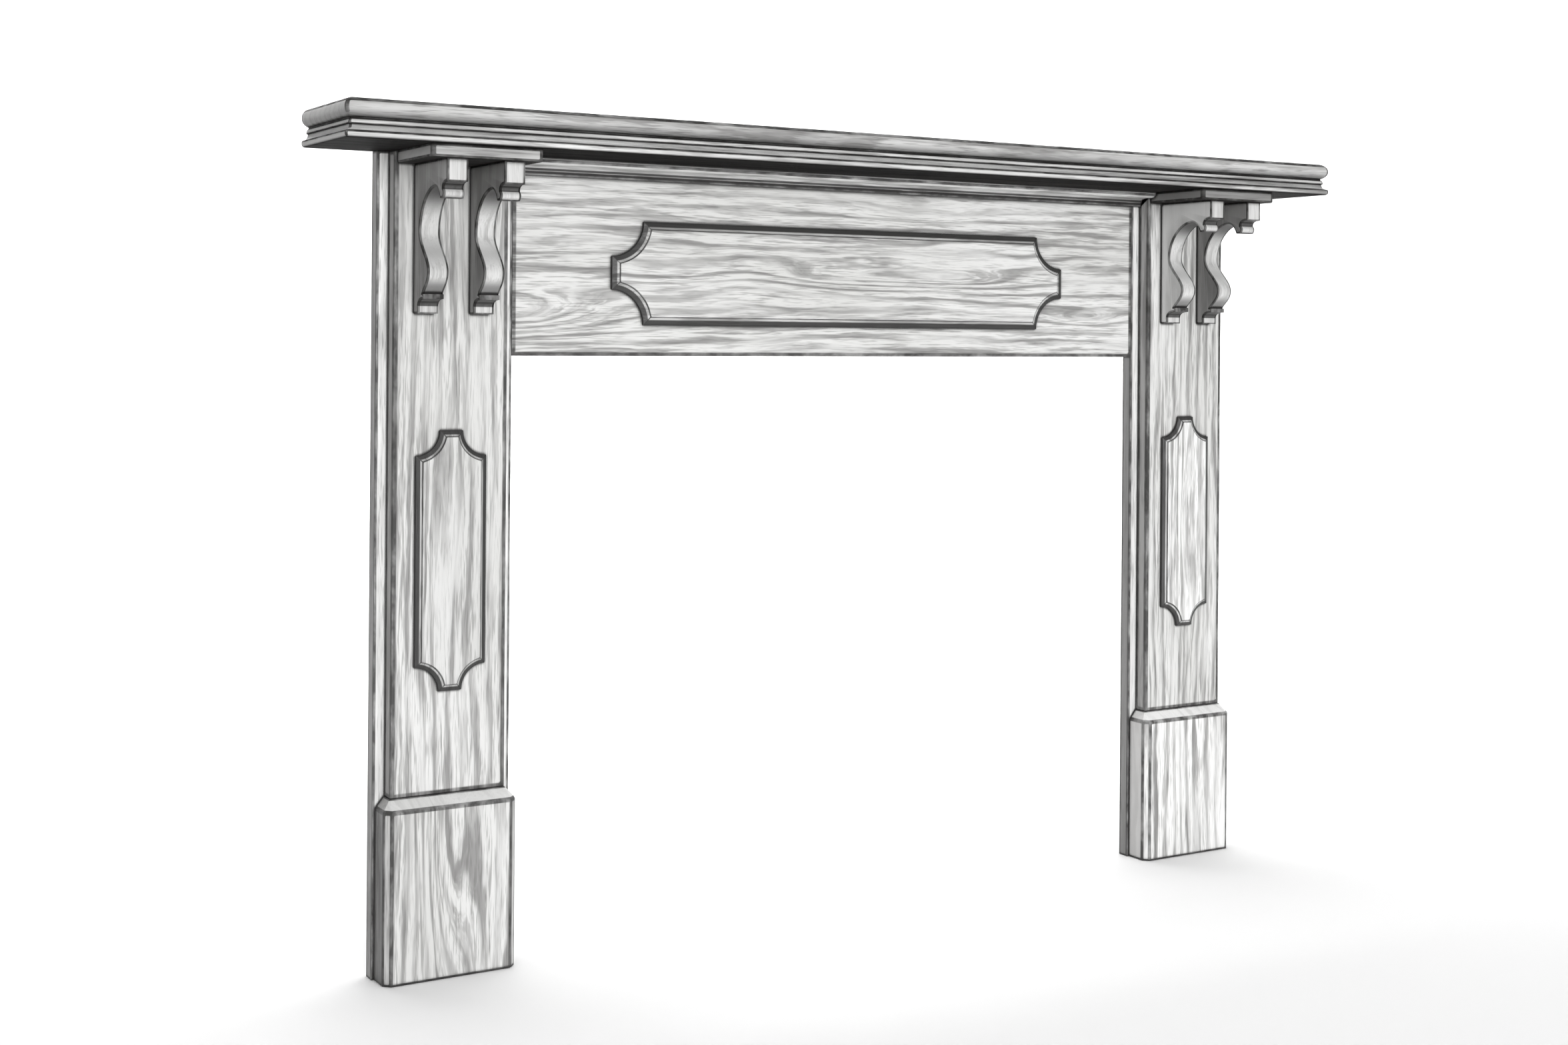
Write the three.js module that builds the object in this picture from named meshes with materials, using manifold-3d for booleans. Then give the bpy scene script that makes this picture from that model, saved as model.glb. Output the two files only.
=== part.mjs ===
import * as THREE from 'three';
import { mergeVertices } from 'three/addons/utils/BufferGeometryUtils.js';
import Module from 'manifold-3d';

// Fireplace mantelpiece in oak: panelled legs, a panelled frieze and a shelf carried on scrolled corbels.
// Millimetres, X along the shelf, the wall at Y = 0, the front towards -Y, heights up from the floor.

const wasm = await Module();
wasm.setup();

// Overall sizes
const totalHeight = 1270;
const openingWidth = 1220;
const openingHeight = 914;
const legWidth = 214;
const boardThickness = 22;
const legCentre = openingWidth / 2 + legWidth / 2;

// Height of the wall fixing, the middle of the frieze, which is the part's origin
const fixingHeight = 1064;

// Shelf and the moulded board under it
const shelfLength = 1860;
const shelfDepth = 196;
const shelfThickness = 27;
const noseSteps = 12;
const shelfMouldingHeight = 29;
const lipRadius = 5;
const lipHeight = 9;
const coveBottom = { inset: 2, height: 10 };
const coveTop = { inset: 9, height: 19 };
const beadBottom = { inset: 7, height: 20 };
const beadTop = { inset: 10, height: 27 };
const curveSteps = 5;
const soffitHeight = totalHeight - shelfThickness - shelfMouldingHeight;

// Moulding between frieze and soffit
const bedHeight = 24;
const bedProjection = 42;
const bedFillet = 5;
const bedMiddle = { projection: 22, height: 14 };
const bedStep = 3;
const bedTopFillet = 3;

// Pilasters, the slabs on top of their corbels and the blocks at their feet
const pilasterWidth = 178;
const pilasterThickness = 26;
const capWidth = 170;
const capFront = 186;
const capThickness = 19;
const capCornerRadius = 5;
const plinthWidth = 206;
const plinthFront = 68;
const plinthHeight = 252;
const plinthBevelHeight = 16;
const plinthChamfer = 10;
const plinthLedge = 1;

// Raised panels
const panelEdge = 4;
const panelRise = 9;
const panelStep = 1.5;
const scoopSteps = 10;
const friezePanel = { width: 888, height: 162, scoop: 55, bevel: 12, bottom: 963 };
const pilasterPanel = { width: 110, height: 384, scoop: 37, bevel: 9, bottom: 420 };

// Corbels, as projections from the pilaster's face and heights above the corbel's foot
const corbelWidth = 32;
const corbelPitch = 87;
const corbelHeight = 219;
const corbelBlock = { projection: 131, height: 33 };
const corbelBead = { projection: 117, bottom: 163, top: 177, bulge: 4 };
const corbelLip = { projection: 103, height: 163 };
const corbelApex = { projection: 83, height: 181 };
const corbelHollow = { projection: 22, height: 118 };
const corbelBelly = { projection: 58, height: 60 };
const corbelNeck = { projection: 36, height: 29 };
const corbelFillet = { projection: 40, bottom: 21, top: 28 };
const corbelFoot = { projection: 18, height: 10 };
const corbelCurveSteps = 10;

// Pull of each corbel curve on its way out of a point, as a share of the rise or the run to the next point
const neckPull = { projection: 0.25, height: 0.25 };
const bellyPull = { below: 0.5, above: 0.35 };
const hollowPull = { below: 0.35, above: 0.55 };
const apexPull = { behind: 0.5, ahead: 0.55 };
const lipPull = { projection: 0.14, height: 0.36 };

// A cut end keeps this gap to the piece that it meets
const fittingGap = 0.3;

const friezeFace = -boardThickness;
const pilasterFace = friezeFace - pilasterThickness;

// Every piece is the same pale limed oak, a little different from board to board
function limedOak( colour ) {

	return new THREE.MeshStandardMaterial( { color: colour, roughness: 0.62, metalness: 0 } );

}

const palestOak = '#d9d8d4';
const paleOak = '#d2d1cc';
const midOak = '#cac9c4';
const greyOak = '#c3c2bd';

// Closed body through a stack of rings with equal counts, lying flat at rising Z and running anticlockwise
function loft( rings ) {

	const count = rings[ 0 ].length;
	const positions = rings.flat().flatMap( ( point ) => point.toArray() );
	const indices = [];

	for ( let ring = 0; ring < rings.length - 1; ring ++ ) {

		for ( let side = 0; side < count; side ++ ) {

			const next = ( side + 1 ) % count;
			const low = ring * count;
			const high = low + count;
			indices.push( low + side, low + next, high + next );
			indices.push( low + side, high + next, high + side );

		}

	}

	const topStart = ( rings.length - 1 ) * count;
	const flat = ( ring ) => ring.map( ( point ) => new THREE.Vector2( point.x, point.y ) );

	for ( const [ a, b, c ] of THREE.ShapeUtils.triangulateShape( flat( rings[ 0 ] ), [] ) ) {

		indices.push( c, b, a );

	}

	for ( const [ a, b, c ] of THREE.ShapeUtils.triangulateShape( flat( rings.at( - 1 ) ), [] ) ) {

		indices.push( topStart + a, topStart + b, topStart + c );

	}

	const geometry = new THREE.BufferGeometry();
	geometry.setAttribute( 'position', new THREE.Float32BufferAttribute( positions, 3 ) );
	geometry.setIndex( indices );
	geometry.computeVertexNormals();
	return geometry;

}

// Board with a moulded edge on its front and both ends, its back flat on the wall plane
function edgedBoard( length, depth, profile ) {

	return loft( profile.map( ( { inset, height } ) => {

		const half = length / 2 - inset;
		const front = - ( depth - inset );
		return [
			new THREE.Vector3( - half, front, height ),
			new THREE.Vector3( half, front, height ),
			new THREE.Vector3( half, 0, height ),
			new THREE.Vector3( - half, 0, height ),
		];

	} ) );

}

// Points along a quarter turn from start to end, setting off level or upright
function quarterTurn( start, end, levelFirst ) {

	const points = [];

	for ( let step = 0; step <= curveSteps; step ++ ) {

		const angle = step / curveSteps * Math.PI / 2;
		const level = levelFirst ? Math.sin( angle ) : 1 - Math.cos( angle );
		const upright = levelFirst ? 1 - Math.cos( angle ) : Math.sin( angle );
		points.push( {
			inset: THREE.MathUtils.lerp( start.inset, end.inset, level ),
			height: THREE.MathUtils.lerp( start.height, end.height, upright ),
		} );

	}

	return points;

}

// Shelf board with a half-round nose
function shelfGeometry() {

	const radius = shelfThickness / 2;
	const nose = [];

	for ( let step = 0; step <= noseSteps; step ++ ) {

		const angle = ( step / noseSteps - 0.5 ) * Math.PI;
		const inset = radius * ( 1 - Math.cos( angle ) );
		const height = radius * ( 1 + Math.sin( angle ) );
		nose.push( { inset, height } );

	}

	return edgedBoard( shelfLength, shelfDepth, nose );

}

// Board under the shelf: lip at the bottom, then a cove, a bead and the quirk that meets the shelf
function shelfMouldingGeometry() {

	const profile = [
		...quarterTurn( { inset: lipRadius, height: 0 }, { inset: 0, height: lipRadius }, true ),
		{ inset: 0, height: lipHeight },
		...quarterTurn( coveBottom, coveTop, true ),
		...quarterTurn( beadBottom, beadTop, false ),
		{ inset: beadTop.inset, height: shelfMouldingHeight },
	];
	return edgedBoard( shelfLength, shelfDepth, profile );

}

// Solid drawn as a side profile, projection against height, and drawn out along X about its middle
function drawnOut( shape, length, segments ) {

	const settings = { depth: length, bevelEnabled: false, curveSegments: segments };
	const geometry = new THREE.ExtrudeGeometry( shape, settings );
	const forward = new THREE.Vector3( 0, - 1, 0 );
	const up = new THREE.Vector3( 0, 0, 1 );
	const along = new THREE.Vector3( - 1, 0, 0 );
	geometry.applyMatrix4( new THREE.Matrix4().makeBasis( forward, up, along ) );
	return geometry.translate( length / 2, 0, 0 );

}

function toManifold( geometry ) {

	const plain = geometry.clone();
	plain.deleteAttribute( 'normal' );
	plain.deleteAttribute( 'uv' );
	const merged = mergeVertices( plain );
	const vertProperties = new Float32Array( merged.attributes.position.array );
	const triVerts = new Uint32Array( merged.index.array );
	return new wasm.Manifold( new wasm.Mesh( { numProp: 3, vertProperties, triVerts } ) );

}

function fromManifold( solid ) {

	const mesh = solid.getMesh();
	const geometry = new THREE.BufferGeometry();
	geometry.setAttribute( 'position', new THREE.Float32BufferAttribute( mesh.vertProperties, 3 ) );
	geometry.setIndex( Array.from( mesh.triVerts ) );
	geometry.computeVertexNormals();
	return geometry;

}

// Bed moulding: fillet, cove, ovolo and top fillet, notched at its ends to pass round the pilasters
function bedMouldingGeometry() {

	const coveFoot = bedFillet + 1;
	const ovoloFoot = bedMiddle.projection + bedStep;
	const ovoloTop = bedHeight - bedTopFillet;
	const shape = new THREE.Shape();
	shape.moveTo( 0, 0 );
	shape.lineTo( bedFillet, 0 );
	shape.lineTo( bedFillet, bedFillet );
	shape.lineTo( coveFoot, bedFillet );
	shape.quadraticCurveTo( coveFoot, bedMiddle.height, bedMiddle.projection, bedMiddle.height );
	shape.lineTo( ovoloFoot, bedMiddle.height );
	shape.quadraticCurveTo( bedProjection, bedMiddle.height, bedProjection, ovoloTop );
	shape.lineTo( bedProjection, bedHeight );
	shape.lineTo( 0, bedHeight );
	shape.closePath();

	const capEnd = legCentre - capWidth / 2 - fittingGap;
	let moulding = toManifold( drawnOut( shape, 2 * capEnd, curveSteps ) );
	const notchDepth = pilasterThickness + fittingGap;

	for ( const side of [ - 1, 1 ] ) {

		const notch = new THREE.BoxGeometry( pilasterWidth + 2 * fittingGap, 2 * notchDepth, 3 * bedHeight );
		notch.translate( side * legCentre, 0, 0 );
		moulding = moulding.subtract( toManifold( notch ) );

	}

	return fromManifold( moulding );

}

// Outline of a panel with its corners scooped out, set in from the edge by inset
function scoopedOutline( { width, height, scoop }, inset, rise ) {

	const radius = scoop + inset;
	const reach = Math.sqrt( radius ** 2 - inset ** 2 );
	const points = [];

	for ( const [ signX, signY ] of [ [ 1, 1 ], [ - 1, 1 ], [ - 1, - 1 ], [ 1, - 1 ] ] ) {

		const start = Math.atan2( inset, reach );
		const cornerX = width / 2 * signX;
		const cornerY = height / 2 * signY;
		const startsOnSide = signX * signY > 0;

		for ( let step = 0; step <= scoopSteps; step ++ ) {

			const sweep = THREE.MathUtils.lerp( start, Math.PI / 2 - start, step / scoopSteps );
			const angle = startsOnSide ? Math.PI / 2 - sweep : sweep;
			const x = cornerX - signX * radius * Math.cos( angle );
			const y = cornerY - signY * radius * Math.sin( angle );
			points.push( new THREE.Vector3( x, y, rise ) );

		}

	}

	return points;

}

// Raised panel standing upright with its back on Y = 0, bevelled to a small step round the field
function panelGeometry( panel ) {

	const rings = [
		scoopedOutline( panel, 0, 0 ),
		scoopedOutline( panel, 0, panelEdge ),
		scoopedOutline( panel, panel.bevel, panelRise - panelStep ),
		scoopedOutline( panel, panel.bevel, panelRise ),
	];
	return loft( rings ).rotateX( Math.PI / 2 ).translate( 0, 0, panel.height / 2 );

}

// Rectangle from the face of the leg board forward, its two front corners chamfered
function chamferedRing( width, front, chamfer, height ) {

	const half = width / 2;
	const outline = [
		[ - half, friezeFace ],
		[ - half, - front + chamfer ],
		[ - half + chamfer, - front ],
		[ half - chamfer, - front ],
		[ half, - front + chamfer ],
		[ half, friezeFace ],
	];
	return outline.map( ( [ x, y ] ) => new THREE.Vector3( x, y, height ) );

}

// Foot block with upright chamfered corners and a bevel rising to the pilaster
function plinthGeometry() {

	const topWidth = pilasterWidth + 2 * plinthLedge;
	const topFront = - pilasterFace + plinthLedge;
	return loft( [
		chamferedRing( plinthWidth, plinthFront, plinthChamfer, 0 ),
		chamferedRing( plinthWidth, plinthFront, plinthChamfer, plinthHeight ),
		chamferedRing( topWidth, topFront, plinthLedge, plinthHeight + plinthBevelHeight ),
	] );

}

// Slab in front of the pilaster, its front corners rounded
function capGeometry() {

	const half = capWidth / 2;
	const turn = half - capCornerRadius;
	const cornerY = - capFront + capCornerRadius;
	const plan = new THREE.Shape();
	plan.moveTo( half, pilasterFace );
	plan.lineTo( - half, pilasterFace );
	plan.absarc( - turn, cornerY, capCornerRadius, Math.PI, Math.PI * 1.5, false );
	plan.absarc( turn, cornerY, capCornerRadius, Math.PI * 1.5, Math.PI * 2, false );
	plan.closePath();
	const settings = { depth: capThickness, bevelEnabled: false, curveSegments: curveSteps };
	return new THREE.ExtrudeGeometry( plan, settings );

}

// Scrolled bracket: foot, fillet, belly, hollow curling up behind the bead, then the block under the cap
function corbelGeometry() {

	const blockBottom = corbelHeight - corbelBlock.height;
	const beadBack = corbelBead.projection - corbelBead.bulge;
	const beadMiddle = ( corbelBead.bottom + corbelBead.top ) / 2;
	const beadControl = beadBack + 2 * corbelBead.bulge;
	const bellyRise = corbelBelly.height - corbelNeck.height;
	const waistRise = corbelHollow.height - corbelBelly.height;
	const archRise = corbelApex.height - corbelHollow.height;
	const archRun = corbelApex.projection - corbelHollow.projection;
	const curlRun = corbelLip.projection - corbelApex.projection;
	const curlDrop = corbelApex.height - corbelLip.height;
	const neckRun = corbelBelly.projection - corbelNeck.projection;

	const shape = new THREE.Shape();
	shape.moveTo( 0, 0 );
	shape.lineTo( corbelFoot.projection, 0 );
	shape.lineTo( corbelFoot.projection, corbelFoot.height );
	shape.quadraticCurveTo(
		corbelFoot.projection, corbelFillet.bottom,
		corbelFillet.projection, corbelFillet.bottom,
	);
	shape.lineTo( corbelFillet.projection, corbelFillet.top );
	shape.lineTo( corbelNeck.projection, corbelNeck.height );
	shape.bezierCurveTo(
		corbelNeck.projection + neckPull.projection * neckRun,
		corbelNeck.height + neckPull.height * bellyRise,
		corbelBelly.projection, corbelBelly.height - bellyPull.below * bellyRise,
		corbelBelly.projection, corbelBelly.height,
	);
	shape.bezierCurveTo(
		corbelBelly.projection, corbelBelly.height + bellyPull.above * waistRise,
		corbelHollow.projection, corbelHollow.height - hollowPull.below * waistRise,
		corbelHollow.projection, corbelHollow.height,
	);
	shape.bezierCurveTo(
		corbelHollow.projection, corbelHollow.height + hollowPull.above * archRise,
		corbelApex.projection - apexPull.behind * archRun, corbelApex.height,
		corbelApex.projection, corbelApex.height,
	);
	shape.bezierCurveTo(
		corbelApex.projection + apexPull.ahead * curlRun, corbelApex.height,
		corbelLip.projection - lipPull.projection * curlRun, corbelLip.height + lipPull.height * curlDrop,
		corbelLip.projection, corbelLip.height,
	);
	shape.lineTo( beadBack, corbelBead.bottom );
	shape.quadraticCurveTo( beadControl, beadMiddle, beadBack, corbelBead.top );
	shape.quadraticCurveTo( beadBack, blockBottom, corbelBlock.projection, blockBottom );
	shape.lineTo( corbelBlock.projection, corbelHeight );
	shape.lineTo( 0, corbelHeight );
	shape.closePath();
	return drawnOut( shape, corbelWidth, corbelCurveSteps );

}

// The pieces stand on the floor here, and the whole is then lowered so that the wall fixing is the origin
const mantelpiece = new THREE.Group();
mantelpiece.position.z = - fixingHeight;

function place( name, geometry, colour, x, y, z ) {

	const mesh = new THREE.Mesh( geometry, limedOak( colour ) );
	mesh.name = name;
	mesh.position.set( x, y, z );
	mantelpiece.add( mesh );

}

// Box standing on its base with its back on Y = 0
function board( width, thickness, height ) {

	return new THREE.BoxGeometry( width, thickness, height ).translate( 0, - thickness / 2, height / 2 );

}

place( 'mantel_shelf', shelfGeometry(), palestOak, 0, 0, totalHeight - shelfThickness );
place( 'shelf_moulding', shelfMouldingGeometry(), paleOak, 0, 0, soffitHeight );
place( 'bed_moulding', bedMouldingGeometry(), paleOak, 0, friezeFace, soffitHeight - bedHeight );

const friezeGeometry = board( openingWidth, boardThickness, soffitHeight - openingHeight );
place( 'frieze_board', friezeGeometry, midOak, 0, 0, openingHeight );
place( 'frieze_panel', panelGeometry( friezePanel ), palestOak, 0, friezeFace, friezePanel.bottom );

const capBottom = soffitHeight - capThickness;
const corbelBottom = capBottom - corbelHeight;
const pilasterBottom = plinthHeight + plinthBevelHeight;

for ( const [ sideName, side ] of [ [ 'left', - 1 ], [ 'right', 1 ] ] ) {

	const x = side * legCentre;
	const pilaster = board( pilasterWidth, pilasterThickness, soffitHeight - pilasterBottom );
	place( `leg_board_${ sideName }`, board( legWidth, boardThickness, soffitHeight ), greyOak, x, 0, 0 );
	place( `pilaster_${ sideName }`, pilaster, midOak, x, friezeFace, pilasterBottom );
	const panel = panelGeometry( pilasterPanel );
	place( `pilaster_panel_${ sideName }`, panel, palestOak, x, pilasterFace, pilasterPanel.bottom );
	place( `plinth_block_${ sideName }`, plinthGeometry(), paleOak, x, 0, 0 );
	place( `cap_${ sideName }`, capGeometry(), paleOak, x, 0, capBottom );

	for ( const [ placeName, offset ] of [ [ 'outer', 1 ], [ 'inner', - 1 ] ] ) {

		const corbelX = x + side * offset * corbelPitch / 2;
		const corbelName = `corbel_${ sideName }_${ placeName }`;
		place( corbelName, corbelGeometry(), midOak, corbelX, pilasterFace, corbelBottom );

	}

}

export default mantelpiece;
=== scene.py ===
import math
from functools import partial

import bmesh
import bpy
import numpy as np
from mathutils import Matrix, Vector, kdtree, noise


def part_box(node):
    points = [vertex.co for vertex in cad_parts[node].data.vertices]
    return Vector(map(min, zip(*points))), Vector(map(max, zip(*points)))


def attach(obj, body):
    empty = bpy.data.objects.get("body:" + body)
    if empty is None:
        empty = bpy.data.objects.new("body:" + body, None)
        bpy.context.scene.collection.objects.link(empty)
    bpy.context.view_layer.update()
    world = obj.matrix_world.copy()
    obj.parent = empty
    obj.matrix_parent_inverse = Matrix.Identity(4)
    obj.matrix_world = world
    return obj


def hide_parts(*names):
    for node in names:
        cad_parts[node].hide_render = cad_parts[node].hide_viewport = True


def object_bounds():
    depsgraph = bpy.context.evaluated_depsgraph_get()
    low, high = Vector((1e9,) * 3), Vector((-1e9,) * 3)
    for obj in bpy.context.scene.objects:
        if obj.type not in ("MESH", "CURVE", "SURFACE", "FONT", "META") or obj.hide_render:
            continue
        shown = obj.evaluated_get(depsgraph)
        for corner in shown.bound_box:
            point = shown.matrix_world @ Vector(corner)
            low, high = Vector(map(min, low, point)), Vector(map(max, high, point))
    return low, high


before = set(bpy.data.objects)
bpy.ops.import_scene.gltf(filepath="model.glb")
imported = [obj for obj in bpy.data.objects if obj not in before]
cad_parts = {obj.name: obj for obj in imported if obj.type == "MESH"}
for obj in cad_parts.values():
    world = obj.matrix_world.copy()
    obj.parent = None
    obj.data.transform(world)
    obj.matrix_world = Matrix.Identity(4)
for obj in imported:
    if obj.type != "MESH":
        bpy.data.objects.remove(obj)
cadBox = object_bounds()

mm = 0.001
weldGap = 1e-6             # points nearer than this are one
arrisTurn = 13.0           # degrees, an edge that turns more than this is an arris or a quirk
sharpTurn = 38.0           # degrees, one that turns more than this is shaded sharp
arrisRows = (0.0, 0.25, 0.6, 1.0)   # shares of an eased arris where rows of points lie
arrisWander = (0.6, 1.6)   # least and most of a hand-eased arris, as shares of its usual size
wanderRate = 9.0           # how often it swings in a metre
roundMiddle = 0.3          # how far in the middle of an eased arris lies, as a share of its size
floorLevel = cadBox[0].z
print("frame loaded,", len(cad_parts), "nodes")


def hexToLinear(code):
    channels = [int(code[i:i + 2], 16) / 255 for i in (1, 3, 5)]
    linear = [c / 12.92 if c <= 0.04045 else ((c + 0.055) / 1.055) ** 2.4 for c in channels]
    return (*linear, 1.0)


def addNode(tree, kind, inputs, out=0, **settings):
    node = tree.nodes.new("ShaderNode" + kind)
    for name, value in settings.items():
        setattr(node, name, value)
    for socket, value in inputs.items():
        if isinstance(value, bpy.types.NodeSocket):
            tree.links.new(value, node.inputs[socket])
        else:
            node.inputs[socket].default_value = value
    return node.outputs[out] if node.outputs else None


def lerp(a, b, t):
    return a + (b - a) * t


# Grey limed oak, the one timber of the whole piece. Lengths in millimetres.
# Brushing opens the grain, the lime fills it and the wax buffs to a satin: a pale chalky ground with
# grey strokes along the board, dark wax left in the quirks and fumed oak along the rubbed arrises.
# Wax and painted shade darken quirks, corners and panel walls; painted shade also darkens sides, backs and
# undersides.
limedOak = {
    "pale": "#ebebea",            # ground where the lime lies thick
    "thin": "#dcdcda",            # ground where it was wiped thin
    "latewood": "#7e7d7c",        # growth rings
    "stroke": "#838281",          # runs of open pores
    "hair": "#6e6d6c",            # single pores
    "edgeStain": "#8a8988",       # grey stain and painted shade on the side faces
    "endGrain": "#757473",        # cut ends drink it
    "rubbed": "#2a2928",          # fumed oak on the rubbed arrises
    "wax": "#1f1e1d",             # dark wax with painted shade in quirks and corners, and on panel walls
    "smoke": "#171616",           # painted shade on faces that look down
    "sawnBack": "#9a9997",        # backs against the wall were never limed, and are painted darker as shade
    "ringWidth": 10.5,            # real rings are 2 to 4 mm wide, coarser here so that they show
    "strokeSize": (150.0, 8.0),   # length and width, real runs are half as wide, coarser so that they show
    "hairSize": (44.0, 2.4),      # real pores are 0.3 mm wide, coarser so that they show
    "bandSize": (260.0, 34.0),    # strokes come in bands with clear wood between
    "washSize": (500.0, 130.0),   # drifts of the lime
    "wearSize": (45.0, 25.0),     # patches where an arris is rubbed less
    "planeSize": (160.0, 45.0),   # faint hollows left by the plane
    "sway": ((420.0, 90.0, 11.0), (110.0, 14.0, 4.0)),   # how rings waver: length, width and swing
    "ringTilt": 0.6,              # rings lie aslant through the board
    "strokeSpread": 0.25,         # keeps strokes thin where rings lie flat
    "boardShift": (1370.0, 530.0, 290.0),   # how far apart two boards lie in the timber
    # where each pattern starts to show and where it is whole
    "bandCut": (0.36, 0.56), "breakCut": (0.3, 0.52), "ringCut": (0.35, 0.85), "strokeCut": (0.49, 0.64),
    "hairCut": (0.49, 0.67), "swayCut": (0.2, 0.8), "washCut": (0.35, 0.65), "wearCut": (0.35, 0.6),
    "showCut": (0.35, 0.7), "edgeCut": (0.6, 0.95), "endCut": (0.6, 0.97), "backCut": (0.6, 0.95),
    "smokeCut": (0.3, 0.9), "rubCut": (0.12, 0.5), "waxCut": (0.12, 0.6), "cornerCut": (0.66, 0.92),
    "ringStrength": 0.68, "strokeStrength": 0.66, "hairStrength": 0.5, "rubStrength": 0.95,
    "edgeStrength": 0.0, "smokeStrength": 0.0, "endStrength": 0.7, "backStrength": 0.6, "waxStrength": 0.92,
    "bandFloor": 0.45,            # how much of the strokes is seen between the bands
    "endShowing": 0.15,           # and on a cut end
    "wearFloor": 0.6,             # least that an arris is rubbed
    "crevice": 8.0,               # how far from a corner wax and painted shade reach
    "waxFade": 0.3,               # how softly a line of wax and painted shade ends
    "sheenLeft": 0.1,             # share of the shine left on the painted-shade undersides and the rubbed arrises
    "roughness": 0.42, "poreRoughness": 0.2, "sootRoughness": 0.35,    # the last two are added to the first
    "poreDepth": 0.3, "planeDepth": 1.6, "bumpStrength": 0.6,
    "eyes": (),    # swirls of the figure: place along and across, length before and after, width and lift
    "waxLines": (),               # wax and painted shade on all that is nearer the wall than a level: level and strength
    "seed": 0.0,
}
lyingGrain = {"axes": "XZY"}      # along the grain, across it, through the board
standingGrain = {"axes": "ZXY", "edgeStrength": 0.62}
flatGrain = {"axes": "XYZ"}


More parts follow.
